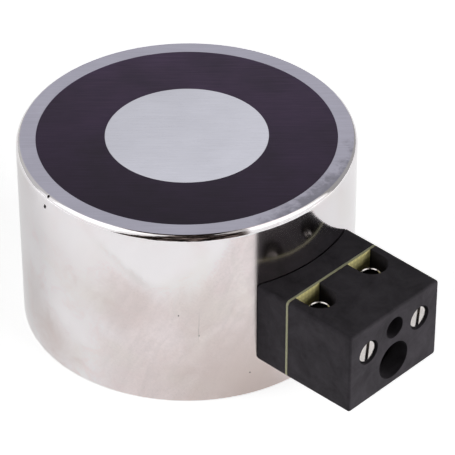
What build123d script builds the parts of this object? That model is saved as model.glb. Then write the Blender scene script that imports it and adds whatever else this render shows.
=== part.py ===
from build123d import *

import os
from math import asin, cos, degrees, radians, sin, tan

# Holding electromagnet: a nickel-plated steel pot with a potted coil, and a black terminal block on its
# side. The pot's axis is Z, its back face lies on z = 0, its pole face looks up, and the terminal block
# stands out along +X. Left is -Y and right is +Y, as seen by someone who faces the terminal block.

# Steel pot, turned from one bar together with its centre pole
body_diameter = 80.0
body_height = 48.0
pole_share = 0.48125
pot_wall = 4.7
back_wall = 11.0
rim_round = 1.72
rim_ground_off = 0.22
back_chamfer = 0.5

# Blind fixing thread in the middle of the back face
back_thread_core = 6.65
back_thread_depth = 14.0
back_thread_countersink = 0.6
drill_point_angle = 118.0

# Coil: bobbin, winding and tape stand on an insulating disc, and black resin seals them in
disc_thickness = 0.5
bobbin_clearance = 0.15
bobbin_wall = 1.45
bobbin_flange = 1.6
tape_thickness = 0.4
potting_sleeve = 2.0
potting_thickness = 5.0

# Slotted cheese-head screws, all M3
thread_diameter = 3.0
thread_clearance = 0.05
hole_clearance = 0.2
tip_chamfer = 0.35
driver_slot_width = 0.9
driver_slot_depth = 0.9
head_edge_chamfer = 0.3
cheese_head_diameter = 5.5
cheese_head_height = 2.0
terminal_head_diameter = 5.3
terminal_head_height = 1.8
terminal_slot_angle = 40.0

# Terminal block on the side of the pot: saddle, board and cover share one rounded outline
block_bottom = 10.1
block_edge_round = 1.0
saddle_length = 6.05
saddle_seat_gap = 0.15
board_thickness = 0.6
cover_depth = 18.85
cover_draft = 0.6
cover_front_round = 0.6
cover_front_wall = 5.0
cover_side_wall = 2.55
cover_top_wall = 5.0
cover_bottom_wall = 2.8

# Two terminals, one each side of the block's middle, with a stepped body, a wire window and a screw each
terminal_pitch = 17.4
terminal_screw_reach = 3.75
terminal_screw_recess = 3.1
terminal_body_width = 7.4
terminal_body_length = 11.35
terminal_body_height = 13.4
terminal_step_drop = 2.2
terminal_step_gap = 0.55
terminal_edge_round = 0.5
wire_window_width = 3.8
wire_window_height = 4.5
wire_window_floor = 1.8
plate_side_clearance = 0.15
plate_play = 0.05
plate_thickness = 1.1
plate_length = 5.6
screw_pin_diameter = 1.8
screw_pin_length = 0.6
screw_pin_clearance = 0.05
spigot_diameter = 3.0
spigot_proud = 1.0
solder_width = 1.1
solder_tip_width = 0.3

# Openings in the cover
pocket_side_gap = 0.25
pocket_end_gap = 0.3
pocket_corner_round = 0.6
chamber_width = 12.0
chamber_headroom = 0.6
cable_hole_diameter = 9.6
cable_hole_height = 6.95
access_hole_diameter = 5.5

# Cover screws, and the central screw that holds saddle and board on the pot
cover_screw_height = 14.2
cover_screw_recess = 0.5
cover_screw_engagement = 3.0
cover_slot_angle = 6.0
counterbore_gap = 0.3
block_screw_height = 16.3
block_screw_end_gap = 0.1
washer_diameter = 6.5
washer_thickness = 0.6
washer_recess_gap = 0.35

# Coil leads and the bush that carries them through the pot and the saddle
lead_height = 6.9
lead_diameter = 1.5
lead_gap = 0.2
lead_bend_radius = 1.6
lead_run_gap = 0.15
bush_bore_gap = 0.4
bush_wall = 1.2
bush_flange_width = 1.1
bush_flange_thickness = 0.8
bush_fit = 0.05
trough_depth = 3.2
trough_gap = 0.3
trough_corner_round = 1.0

# Pot and coil, worked out from the sizes above
body_radius = body_diameter / 2
pole_radius = body_radius * pole_share
slot_radius = body_radius - pot_wall
slot_floor = back_wall
bobbin_bottom = slot_floor + disc_thickness
potting_bottom = body_height - potting_thickness
bobbin_bore = pole_radius + bobbin_clearance
winding_inner = bobbin_bore + bobbin_wall
coil_outer = slot_radius - potting_sleeve
winding_outer = coil_outer - tape_thickness
winding_bottom = bobbin_bottom + bobbin_flange
winding_top = potting_bottom - bobbin_flange

# Terminals, from the board outwards and from the block's lower face upwards
saddle_front = body_radius + saddle_length
board_front = saddle_front + board_thickness
cover_front = board_front + cover_depth
terminal_offset = terminal_pitch / 2
terminal_x = board_front + terminal_screw_reach
pillar_front = board_front + terminal_body_length
pillar_step_front = terminal_x + terminal_head_diameter / 2 + terminal_step_gap
pocket_width = terminal_body_width + 2 * pocket_side_gap
pocket_depth = terminal_body_length + pocket_end_gap
pocket_bottom = block_bottom + cover_bottom_wall
pillar_bottom = pocket_bottom + pocket_end_gap
pillar_top = pillar_bottom + terminal_body_height
pillar_step = pillar_top - terminal_step_drop
pocket_top = pillar_top + pocket_end_gap
window_floor = pillar_bottom + wire_window_floor
window_top = window_floor + wire_window_height
plate_top = window_top - plate_play
block_top = pocket_top + cover_top_wall
block_middle = (block_bottom + block_top) / 2
block_width = terminal_pitch + pocket_width + 2 * cover_side_wall
block_height = block_top - block_bottom
terminal_head_top = block_top - terminal_screw_recess
terminal_head_seat = terminal_head_top - terminal_head_height

# Screws, holes and leads of the block
cable_hole_z = block_bottom + cable_hole_height
chamber_bottom = cable_hole_z - cable_hole_diameter / 2
chamber_top = cable_hole_z + cable_hole_diameter / 2 + chamber_headroom
cover_screw_z = block_bottom + cover_screw_height
cover_screw_seat = cover_front - cover_screw_recess - cheese_head_height
cover_screw_length = cover_screw_seat - pillar_front + cover_screw_engagement
counterbore_diameter = cheese_head_diameter + 2 * counterbore_gap
block_screw_z = block_bottom + block_screw_height
block_screw_seat = board_front + washer_thickness
block_screw_length = block_screw_seat - slot_radius - block_screw_end_gap
washer_recess_diameter = washer_diameter + 2 * washer_recess_gap
washer_recess_depth = washer_thickness + cheese_head_height + 2 * washer_recess_gap
lead_z = block_bottom + lead_height
lead_pitch = lead_diameter + lead_gap
lead_run_x = saddle_front - lead_run_gap - lead_diameter / 2
bush_bore_diameter = lead_pitch + lead_diameter + 2 * bush_bore_gap
bush_outer_diameter = bush_bore_diameter + 2 * bush_wall
bush_flange_diameter = bush_outer_diameter + 2 * bush_flange_width
spigot_back = saddle_front - spigot_proud
solder_radius = spigot_diameter / 2 + solder_width
solder_tip_radius = spigot_diameter / 2 + solder_tip_width
trough_floor = saddle_front - trough_depth
trough_width = terminal_pitch + 2 * (solder_radius + trough_gap)
trough_height = bush_flange_diameter + 2 * trough_gap
sides = {"left": -1, "right": 1}


def block_outline(edge_round):
    """The rounded rectangle that the saddle, the board and the cover share, seen along X."""
    with Locations((0, block_middle)):
        RectangleRounded(block_width, block_height, edge_round)


def slotted_screw(seat, head_diameter, head_height, length, pin=False):
    """A slotted cheese-head screw whose head sits on the plane seat and whose shank points below it."""
    shank_radius = thread_diameter / 2 - thread_clearance
    with BuildPart(seat) as screw:
        Cylinder(head_diameter / 2, head_height, align=(Align.CENTER, Align.CENTER, Align.MIN))
        top_edges = screw.faces().sort_by(Axis(seat.origin, seat.z_dir))[-1].edges()
        chamfer(top_edges, head_edge_chamfer)
        Cylinder(shank_radius, length, align=(Align.CENTER, Align.CENTER, Align.MAX))
        tip_edges = screw.faces().sort_by(Axis(seat.origin, seat.z_dir))[0].edges()
        if pin:
            with Locations((0, 0, -length)):
                Cylinder(
                    screw_pin_diameter / 2,
                    screw_pin_length,
                    align=(Align.CENTER, Align.CENTER, Align.MAX),
                )
        else:
            chamfer(tip_edges, tip_chamfer)
        with Locations((0, 0, head_height)):
            Box(
                head_diameter * 2,
                driver_slot_width,
                driver_slot_depth * 2,
                mode=Mode.SUBTRACT,
            )
    return screw.part


def save(part, name):
    part.label = name
    export_step(part, f"parts/{name}.step")


os.makedirs("parts", exist_ok=True)

# Pot and centre pole, with the rim rounded by turning and then cut flat by grinding the pole face
rim_round_drop = rim_round - rim_ground_off
rim_arc_angle = degrees(asin(rim_round_drop / rim_round))
drill_point = back_thread_core / 2 / tan(radians(drill_point_angle / 2))
with BuildPart() as pot_housing:
    with BuildSketch(Plane.XZ):
        with BuildLine():
            rim = CenterArc(
                (body_radius - rim_round, body_height - rim_round_drop), rim_round, 0, rim_arc_angle
            )
            Polyline(
                rim @ 1,
                (slot_radius, body_height),
                (slot_radius, slot_floor),
                (pole_radius, slot_floor),
                (pole_radius, body_height),
                (0, body_height),
                (0, 0),
                (body_radius - back_chamfer, 0),
                (body_radius, back_chamfer),
                rim @ 0,
            )
        make_face()
    revolve(axis=Axis.Z)
    with BuildSketch(Plane.XZ):
        with BuildLine():
            Polyline(
                (0, 0),
                (back_thread_core / 2 + back_thread_countersink, 0),
                (back_thread_core / 2, back_thread_countersink),
                (back_thread_core / 2, back_thread_depth),
                (0, back_thread_depth + drill_point),
                close=True,
            )
        make_face()
    revolve(axis=Axis.Z, mode=Mode.SUBTRACT)
    with BuildSketch(Plane.YZ.offset(winding_outer)):
        with Locations((0, lead_z)):
            Circle(bush_outer_diameter / 2 + bush_fit)
        with Locations((0, block_screw_z)):
            Circle(thread_diameter / 2)
    extrude(amount=body_radius, mode=Mode.SUBTRACT)
save(pot_housing.part, "pot_housing")

# Insulating disc on the floor of the slot
with BuildPart() as insulation_disc:
    with BuildSketch(Plane.XY.offset(slot_floor)):
        Circle(coil_outer)
        Circle(bobbin_bore, mode=Mode.SUBTRACT)
    extrude(amount=disc_thickness)
save(insulation_disc.part, "insulation_disc")

# Bobbin: a thin tube round the pole with a flange at each end
with BuildPart() as coil_bobbin:
    with BuildSketch(Plane.XZ):
        with BuildLine():
            Polyline(
                (bobbin_bore, bobbin_bottom),
                (coil_outer, bobbin_bottom),
                (coil_outer, winding_bottom),
                (winding_inner, winding_bottom),
                (winding_inner, winding_top),
                (coil_outer, winding_top),
                (coil_outer, potting_bottom),
                (bobbin_bore, potting_bottom),
                close=True,
            )
        make_face()
    revolve(axis=Axis.Z)
save(coil_bobbin.part, "coil_bobbin")

# Copper winding, all its turns as one ring
with BuildPart() as coil_winding:
    with BuildSketch(Plane.XY.offset(winding_bottom)):
        Circle(winding_outer)
        Circle(winding_inner, mode=Mode.SUBTRACT)
    extrude(amount=winding_top - winding_bottom)
save(coil_winding.part, "coil_winding")

# Tape wrapped round the winding
with BuildPart() as winding_tape:
    with BuildSketch(Plane.XY.offset(winding_bottom)):
        Circle(coil_outer)
        Circle(winding_outer, mode=Mode.SUBTRACT)
    extrude(amount=winding_top - winding_bottom)
save(winding_tape.part, "winding_tape")

# Black resin: a thick ring flush with the pole face, and a sleeve down between the coil and the pot wall
with BuildPart() as potting_resin:
    with BuildSketch(Plane.XZ):
        with BuildLine():
            Polyline(
                (pole_radius, body_height),
                (slot_radius, body_height),
                (slot_radius, slot_floor),
                (coil_outer, slot_floor),
                (coil_outer, potting_bottom),
                (pole_radius, potting_bottom),
                close=True,
            )
        make_face()
    revolve(axis=Axis.Z)
    with BuildSketch(Plane.YZ.offset(winding_outer)):
        with Locations((0, lead_z)):
            Circle(bush_bore_diameter / 2)
    extrude(amount=body_radius, mode=Mode.SUBTRACT)
save(potting_resin.part, "potting_resin")

# Flanged bush that carries the leads through the pot wall and locates the saddle
with BuildPart() as lead_bush:
    with BuildSketch(Plane.YZ.offset(slot_radius)):
        with Locations((0, lead_z)):
            Circle(bush_outer_diameter / 2)
    extrude(amount=trough_floor - slot_radius)
    with BuildSketch(Plane.YZ.offset(trough_floor)):
        with Locations((0, lead_z)):
            Circle(bush_flange_diameter / 2)
    extrude(amount=bush_flange_thickness)
    with BuildSketch(Plane.YZ.offset(slot_radius)):
        with Locations((0, lead_z)):
            Circle(bush_bore_diameter / 2)
    extrude(amount=body_radius, mode=Mode.SUBTRACT)
save(lead_bush.part, "lead_bush")

# Insulated leads, out of the coil side by side and then apart to the two terminals
for name, side in sides.items():
    lead_y = side * lead_pitch / 2
    lead_end = side * (terminal_offset - solder_radius)
    with BuildPart() as coil_lead:
        with BuildLine():
            lead_path = FilletPolyline(
                (coil_outer, lead_y, lead_z),
                (lead_run_x, lead_y, lead_z),
                (lead_run_x, lead_end, lead_z),
                radius=lead_bend_radius,
            )
        with BuildSketch(Plane(origin=lead_path @ 0, z_dir=lead_path % 0)):
            Circle(lead_diameter / 2)
        sweep(path=lead_path)
    save(coil_lead.part, f"coil_lead_{name}")

# Saddle: the black block whose hollow back fits the round pot, with a wiring trough in its front
with BuildPart() as terminal_saddle:
    with BuildSketch(Plane.YZ.offset(slot_radius)):
        block_outline(block_edge_round)
    extrude(amount=saddle_front - slot_radius)
    with BuildSketch(Plane.XY):
        Circle(body_radius + saddle_seat_gap)
    extrude(amount=body_height, mode=Mode.SUBTRACT)
    with BuildSketch(Plane.YZ.offset(saddle_front)):
        with Locations((0, lead_z)):
            RectangleRounded(trough_width, trough_height, trough_corner_round)
    extrude(amount=-trough_depth, mode=Mode.SUBTRACT)
    with BuildSketch(Plane.YZ.offset(saddle_front)):
        with Locations((0, lead_z)):
            Circle(bush_outer_diameter / 2 + bush_fit)
        with Locations((0, block_screw_z)):
            Circle(thread_diameter / 2 + hole_clearance)
    extrude(amount=slot_radius - saddle_front, mode=Mode.SUBTRACT)
save(terminal_saddle.part, "terminal_saddle")

# Thin glass-fibre board between the saddle and the cover
with BuildPart() as terminal_board:
    with BuildSketch(Plane.YZ.offset(saddle_front)):
        block_outline(block_edge_round)
        with Locations((0, block_screw_z)):
            Circle(thread_diameter / 2 + hole_clearance, mode=Mode.SUBTRACT)
        with Locations((-terminal_offset, lead_z), (terminal_offset, lead_z)):
            Circle(spigot_diameter / 2, mode=Mode.SUBTRACT)
    extrude(amount=board_thickness)
save(terminal_board.part, "terminal_board")

# Terminal bodies: stepped brass blocks with a wire window across them, a tapped hole down into the
# window, a tapped hole in front for the cover screw, and a spigot that is soldered through the board
for name, side in sides.items():
    terminal_y = side * terminal_offset
    with BuildPart() as terminal_body:
        with BuildSketch(Plane.XZ.offset(-terminal_y)):
            with BuildLine():
                Polyline(
                    (board_front, pillar_bottom),
                    (pillar_front, pillar_bottom),
                    (pillar_front, pillar_top),
                    (pillar_step_front, pillar_top),
                    (pillar_step_front, pillar_step),
                    (board_front, pillar_step),
                    close=True,
                )
            make_face()
        extrude(amount=terminal_body_width / 2, both=True)
        upright_edges = terminal_body.edges().filter_by(Axis.Z).sort_by(Axis.X)[-2:]
        fillet(upright_edges, terminal_edge_round)
        with BuildSketch(Plane.XZ.offset(-terminal_y)):
            with Locations((terminal_x, (window_floor + window_top) / 2)):
                Rectangle(wire_window_width, wire_window_height)
        extrude(amount=terminal_body_width, both=True, mode=Mode.SUBTRACT)
        with BuildSketch(Plane.XY.offset(window_top)):
            with Locations((terminal_x, terminal_y)):
                Circle(thread_diameter / 2)
        extrude(amount=terminal_body_height, mode=Mode.SUBTRACT)
        with BuildSketch(Plane.YZ.offset(pillar_front - cover_screw_engagement - thread_clearance)):
            with Locations((terminal_y, cover_screw_z)):
                Circle(thread_diameter / 2)
        extrude(amount=terminal_body_length, mode=Mode.SUBTRACT)
        with BuildSketch(Plane.YZ.offset(spigot_back)):
            with Locations((terminal_y, lead_z)):
                Circle(spigot_diameter / 2)
        extrude(amount=board_front - spigot_back)
    save(terminal_body.part, f"terminal_body_{name}")

# Solder round each spigot on the back of the board
with BuildPart() as solder_joints:
    for side in sides.values():
        with BuildSketch(Plane.YZ.offset(saddle_front)):
            with Locations((side * terminal_offset, lead_z)):
                Circle(solder_radius)
        with BuildSketch(Plane.YZ.offset(spigot_back)):
            with Locations((side * terminal_offset, lead_z)):
                Circle(solder_tip_radius)
        loft()
    with BuildSketch(Plane.YZ.offset(spigot_back)):
        with Locations((-terminal_offset, lead_z), (terminal_offset, lead_z)):
            Circle(spigot_diameter / 2)
    extrude(amount=spigot_proud, mode=Mode.SUBTRACT)
save(solder_joints.part, "solder_joints")

# Pressure plates, which the terminal screws push down on the wires
for name, side in sides.items():
    terminal_y = side * terminal_offset
    with BuildPart() as pressure_plate:
        with BuildSketch(Plane.XY.offset(plate_top)):
            with Locations((terminal_x, terminal_y)):
                Rectangle(wire_window_width - 2 * plate_side_clearance, plate_length)
        extrude(amount=-plate_thickness)
        with BuildSketch(Plane.XY.offset(plate_top)):
            with Locations((terminal_x, terminal_y)):
                Circle(screw_pin_diameter / 2 + screw_pin_clearance)
        extrude(amount=-screw_pin_length, mode=Mode.SUBTRACT)
    save(pressure_plate.part, f"pressure_plate_{name}")

# Terminal screws, upright in the notches, with a pin at the tip that turns in the pressure plate
for name, side in sides.items():
    terminal_seat = Plane(
        origin=(terminal_x, side * terminal_offset, terminal_head_seat),
        x_dir=(cos(radians(terminal_slot_angle)), sin(radians(terminal_slot_angle)), 0),
        z_dir=(0, 0, 1),
    )
    terminal_screw = slotted_screw(
        terminal_seat,
        terminal_head_diameter,
        terminal_head_height,
        terminal_head_seat - window_top,
        pin=True,
    )
    save(terminal_screw, f"terminal_screw_{name}")

# Central screw and washer that hold the saddle and the board on the pot
with BuildPart() as block_washer:
    with BuildSketch(Plane.YZ.offset(board_front)):
        with Locations((0, block_screw_z)):
            Circle(washer_diameter / 2)
            Circle(thread_diameter / 2 + hole_clearance, mode=Mode.SUBTRACT)
    extrude(amount=washer_thickness)
save(block_washer.part, "block_washer")

block_seat = Plane(
    origin=(block_screw_seat, 0, block_screw_z), x_dir=(0, 0, 1), z_dir=(1, 0, 0)
)
block_screw = slotted_screw(block_seat, cheese_head_diameter, cheese_head_height, block_screw_length)
save(block_screw, "block_screw")

# Cover: a deep moulded cap with open-backed notches, terminal pockets and a cable chamber
with BuildPart() as terminal_cover:
    with BuildSketch(Plane.YZ.offset(board_front)):
        block_outline(block_edge_round)
    extrude(amount=cover_depth, taper=cover_draft)
    fillet(terminal_cover.faces().sort_by(Axis.X)[-1].edges(), cover_front_round)
    with BuildSketch(Plane.YZ.offset(board_front)):
        with Locations(
            (-terminal_offset, (pocket_bottom + pocket_top) / 2),
            (terminal_offset, (pocket_bottom + pocket_top) / 2),
        ):
            RectangleRounded(pocket_width, pocket_top - pocket_bottom, pocket_corner_round)
    extrude(amount=pocket_depth, mode=Mode.SUBTRACT)
    with BuildSketch(Plane.XY.offset(pillar_step)):
        for side in sides.values():
            with Locations((terminal_x, side * terminal_offset)):
                Circle(pocket_width / 2)
            with Locations((board_front, side * terminal_offset)):
                Rectangle(2 * terminal_screw_reach, pocket_width)
    extrude(amount=block_height, mode=Mode.SUBTRACT)
    with BuildSketch(Plane.YZ.offset(board_front)):
        with Locations((0, (chamber_bottom + chamber_top) / 2)):
            RectangleRounded(chamber_width, chamber_top - chamber_bottom, pocket_corner_round)
    extrude(amount=cover_depth - cover_front_wall, mode=Mode.SUBTRACT)
    with BuildSketch(Plane.YZ.offset(board_front)):
        with Locations((0, cable_hole_z)):
            Circle(cable_hole_diameter / 2)
        with Locations((0, block_screw_z)):
            Circle(access_hole_diameter / 2)
        with Locations((-terminal_offset, cover_screw_z), (terminal_offset, cover_screw_z)):
            Circle(thread_diameter / 2 + hole_clearance)
    extrude(amount=2 * cover_depth, mode=Mode.SUBTRACT)
    with BuildSketch(Plane.YZ.offset(board_front)):
        with Locations((0, block_screw_z)):
            Circle(washer_recess_diameter / 2)
    extrude(amount=washer_recess_depth, mode=Mode.SUBTRACT)
    with BuildSketch(Plane.YZ.offset(cover_screw_seat)):
        with Locations((-terminal_offset, cover_screw_z), (terminal_offset, cover_screw_z)):
            Circle(counterbore_diameter / 2)
    extrude(amount=cover_depth, mode=Mode.SUBTRACT)
save(terminal_cover.part, "terminal_cover")

# Cover screws, one in each counterbore of the cover's front
with BuildPart() as cover_screws:
    for side in sides.values():
        cover_seat = Plane(
            origin=(cover_screw_seat, side * terminal_offset, cover_screw_z),
            x_dir=(0, sin(radians(cover_slot_angle)), cos(radians(cover_slot_angle))),
            z_dir=(1, 0, 0),
        )
        add(slotted_screw(cover_seat, cheese_head_diameter, cheese_head_height, cover_screw_length))
save(cover_screws.part, "cover_screws")
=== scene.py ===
"""Holding electromagnet: a plated pot magnet with a screw terminal block, dressed round its CAD frame."""

import math

import bmesh
import bpy
from bpy.props import FloatProperty, FloatVectorProperty, PointerProperty
from mathutils import Matrix, Vector


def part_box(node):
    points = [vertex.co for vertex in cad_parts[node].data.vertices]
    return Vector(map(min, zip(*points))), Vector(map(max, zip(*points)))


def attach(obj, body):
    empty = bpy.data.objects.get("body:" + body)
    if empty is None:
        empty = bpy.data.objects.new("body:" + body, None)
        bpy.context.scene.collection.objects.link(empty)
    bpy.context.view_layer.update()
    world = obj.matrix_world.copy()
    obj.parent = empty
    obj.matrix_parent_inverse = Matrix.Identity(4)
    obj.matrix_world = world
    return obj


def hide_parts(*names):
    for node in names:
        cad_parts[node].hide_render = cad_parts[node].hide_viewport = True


bl_info = {
    "name": "Holding electromagnet",
    "version": (1, 0, 0),
    "blender": (4, 5, 0),
    "location": "3D Viewport > Sidebar > Magnet",
    "description": "Builds a plated holding electromagnet with its terminal block, and the studio round it",
    "category": "Object",
}

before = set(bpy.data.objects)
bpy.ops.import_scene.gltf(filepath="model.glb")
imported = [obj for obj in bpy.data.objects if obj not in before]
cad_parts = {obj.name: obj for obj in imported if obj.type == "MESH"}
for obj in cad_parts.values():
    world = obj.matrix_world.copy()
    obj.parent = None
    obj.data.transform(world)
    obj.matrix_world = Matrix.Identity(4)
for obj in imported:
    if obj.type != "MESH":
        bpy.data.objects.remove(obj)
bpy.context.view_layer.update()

MM = 0.001
ROOT = "magnet"


def box_mm(node):
    """Lowest and highest corner of a CAD node, in millimetres."""
    low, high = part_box(node)
    return low / MM, high / MM


pot_low, pot_high = box_mm("pot_housing")
resin_low, resin_high = box_mm("potting_resin")
disc_low, disc_high = box_mm("insulation_disc")
saddle_low, saddle_high = box_mm("terminal_saddle")
cover_low, cover_high = box_mm("terminal_cover")
brass_low, brass_high = box_mm("terminal_body_right")
clamp_low, clamp_high = box_mm("terminal_screw_right")
caps_low, caps_high = box_mm("cover_screws")
centre_low, centre_high = box_mm("block_screw")
bush_low, bush_high = box_mm("lead_bush")

# Middles of the bush, the block screw, the cover screws and the right clamping screw.
bush_z = (bush_low.z + bush_high.z) / 2
centre_z = (centre_low.z + centre_high.z) / 2
caps_z = (caps_low.z + caps_high.z) / 2
clamp_x = (clamp_low.x + clamp_high.x) / 2
clamp_y = (clamp_low.y + clamp_high.y) / 2

SIDES = {"left": -1, "right": 1}
AROUND_POT = 192
AROUND_SCREW = 48
AROUND_HOLE = 64
ROWS_PER_PITCH = 8

# Settings of a map range that eases in and out.
EASED = {"interpolation_type": "SMOOTHSTEP"}

# Radii in millimetres: the hole for the lead bush, tapped and clear holes for the small screws, the hollow
# behind the access hole, and the countersink of the back thread beyond its core.
BUSH_HOLE, TAPPED_HOLE, CLEAR_HOLE, ACCESS_HOLLOW = 3.25, 1.5, 1.7, 3.6
COUNTERSINK = 0.6

# Small screws in millimetres: radius and height of a cheese head, then a clamping screw's head height, the
# radius and length of its pin, and the radius and depth of its dish.
CHEESE_HEAD = (2.75, 2.0)
CLAMP_HEAD_HEIGHT, CLAMP_PIN, CLAMP_DISH = 1.8, (0.9, 0.6), (2.15, 1.0)

# Gaps round the terminal bodies, in millimetres: beside them, and behind and above them.
SIDE_GAP, END_GAP = 0.25, 0.3


def linear(hex_colour):
    """An sRGB hex colour as linear red, green, blue and alpha."""
    parts = [int(hex_colour[i : i + 2], 16) / 255 for i in (1, 3, 5)]
    return tuple(c / 12.92 if c <= 0.04045 else ((c + 0.055) / 1.055) ** 2.4 for c in parts) + (1.0,)


def per_mm(size):
    """Texture scale that makes one feature this many millimetres across."""
    return 1 / (size * MM)


def colour(name, text, hex_colour):
    return FloatVectorProperty(
        name=name, description=text, subtype="COLOR", size=4, min=0.0, max=1.0, default=linear(hex_colour)
    )


def length(name, text, millimetres):
    return FloatProperty(
        name=name, description=text, unit="LENGTH", precision=6, min=0.0, default=millimetres * MM
    )


class MagnetSizes(bpy.types.PropertyGroup):
    """Sizes of the edges, holes and threads that the dressed pieces add to the CAD frame."""

    pole_radius: length("Pole radius", "Radius of the centre pole", 19.25)
    rim_round: length("Rim round", "Radius turned on the rim before the face was ground", 1.72)
    rim_ground_off: length("Ground off", "Height that grinding took off the rim's round", 0.22)
    back_chamfer: length("Back chamfer", "Chamfer round the back face", 0.5)
    pole_edge: length("Pole edge", "Fine edge break left round the pole and the rim's inside", 0.06)
    back_thread_minor: length("Back thread core", "Core radius of the fixing thread", 3.325)
    back_thread_major: length("Back thread major", "Major radius of the fixing thread", 3.96)
    back_thread_pitch: length("Back thread pitch", "Pitch of the fixing thread", 1.25)
    back_thread_depth: length("Back thread depth", "Depth of the fixing thread", 14.0)
    block_corner: length("Block corner", "Corner radius of the terminal block", 1.0)
    moulding_break: length("Moulding edge", "Edge break on mouldings", 0.11)
    cover_round: length("Cover front round", "Round on the cover's front edges", 0.6)
    cable_hole: length("Cable hole", "Radius of the cable entry", 4.8)
    access_hole: length("Access hole", "Radius of the screwdriver hole", 2.75)
    counterbore: length("Counterbore", "Radius of the counterbores for the cover screws", 3.05)
    screw_pitch: length("Screw pitch", "Pitch of the small screws", 0.5)
    screw_core: length("Screw core", "Core radius of the small screws", 1.2)
    screw_major: length("Screw major", "Major radius of the small screws", 1.45)
    slot_width: length("Slot width", "Width of the driver slots", 1.05)
    slot_depth: length("Slot depth", "Depth of the driver slots", 1.2)
    slot_break: length("Slot edge", "Edge break on the driver slots", 0.06)


class MagnetFinish(bpy.types.PropertyGroup):
    """Colours of the real materials, and of the painted shade in the screws' hollows and on the plate."""

    nickel: colour("Nickel", "Bright nickel plate on the pot's side", "#EAE7E9")
    nickel_dull: colour("Dull nickel", "Dull patches of the plate", "#DFD5D5")
    nickel_pink: colour("Pink bloom", "Faint pink clouds in the plate", "#E2D3D4")
    nickel_straw: colour("Straw bloom", "Faint straw clouds in the plate", "#E0DCD6")
    nickel_grey: colour("Rinse marks", "Grey marks of dried rinse water", "#BAB6AE")
    # Brown stains, and painted shade where the plate reflects shadow beside the block and low on the left.
    nickel_brown_and_shade: colour("Brown stains", "Brown handling stains and painted shade on the plate", "#C3B5B0")
    nickel_score: colour("Scratches", "Scratches in the plate", "#6E6762")
    nickel_pit: colour("Pits", "Pits and specks in the plate", "#1E1A18")
    pole_face: colour("Pole face", "Ground and plated pole face", "#C6C6D0")
    rim_face: colour("Rim face", "Ground and plated rim", "#A7A5B3")
    back_face: colour("Back face", "Turned and plated back", "#C9C6C6")
    bare_steel: colour("Bare steel", "Oiled steel inside the fixing thread", "#7C7A79")
    resin: colour("Resin", "Black potting resin", "#413549")
    moulding: colour("Moulding", "Black moulded block and cover", "#3C393D")
    board: colour("Board", "Glass-fibre board", "#CFC68A")
    board_edge: colour("Board edge", "Sheared edge of the board", "#B9B898")
    brass: colour("Brass", "Milled terminal brass", "#C8A661")
    screw: colour("Screw", "Nickel-plated screws", "#D6D1CE")
    # Painted shade, laid in the hollows of the clamping screws' heads.
    recess: colour("Screw recess", "Painted shade in the hollows of the clamping screws' heads", "#1B1917")
    solder: colour("Solder", "Tin solder", "#B4B6B9")
    nylon: colour("Nylon", "Natural nylon of bobbin and bush", "#D9D2BE")
    copper: colour("Copper", "Enamelled copper wire", "#A8552D")
    tape: colour("Tape", "Yellow polyester tape", "#C9A227")
    pressboard: colour("Pressboard", "Electrical pressboard", "#8C6B45")
    lead: colour("Lead", "Insulation of the coil leads", "#A32820")
    paper: colour("Studio paper", "Matt white paper under the magnet", "#F2F2F2")


def add(tree, kind, inputs=None, **settings):
    """Adds one node with its settings, and fills or links its inputs."""
    made = tree.nodes.new(kind)
    for name, value in settings.items():
        setattr(made, name, value)
    for key, value in (inputs or {}).items():
        if isinstance(value, bpy.types.NodeSocket):
            tree.links.new(value, made.inputs[key])
        else:
            made.inputs[key].default_value = value
    return made


def start_material(name, **sockets):
    """A new material with its shader's constant sockets set, and its tree, shader and object coordinates."""
    material = bpy.data.materials.new(name)
    material.use_nodes = True
    tree = material.node_tree
    shader = tree.nodes["Principled BSDF"]
    for key, value in sockets.items():
        shader.inputs[key.replace("_", " ")].default_value = value
    place = add(tree, "ShaderNodeTexCoord").outputs["Object"]
    return material, tree, shader, place


def lay_surface(tree, shader, base, tone, rough, height, depth):
    """Links a base colour times a tone, a roughness, and a relief this many millimetres deep to a shader."""
    shade = add(tree, "ShaderNodeVectorMath", {0: base[:3], "Scale": tone}, operation="SCALE")
    bump = add(tree, "ShaderNodeBump", {"Strength": 1.0, "Distance": depth * MM, "Height": height})
    tree.links.new(shade.outputs["Vector"], shader.inputs["Base Color"])
    tree.links.new(rough, shader.inputs["Roughness"])
    tree.links.new(bump.outputs[0], shader.inputs["Normal"])


def speck(tree, place, at, radius):
    """1 at a point in millimetres, fading to 0 past its radius."""
    reach = add(tree, "ShaderNodeVectorMath", {0: place, 1: Vector(at) * MM}, operation="DISTANCE")
    return add(
        tree,
        "ShaderNodeMapRange",
        {0: reach.outputs["Value"], 1: radius * 0.6 * MM, 2: radius * 1.3 * MM, 3: 1.0, 4: 0.0},
        **EASED,
    ).outputs[0]


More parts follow.
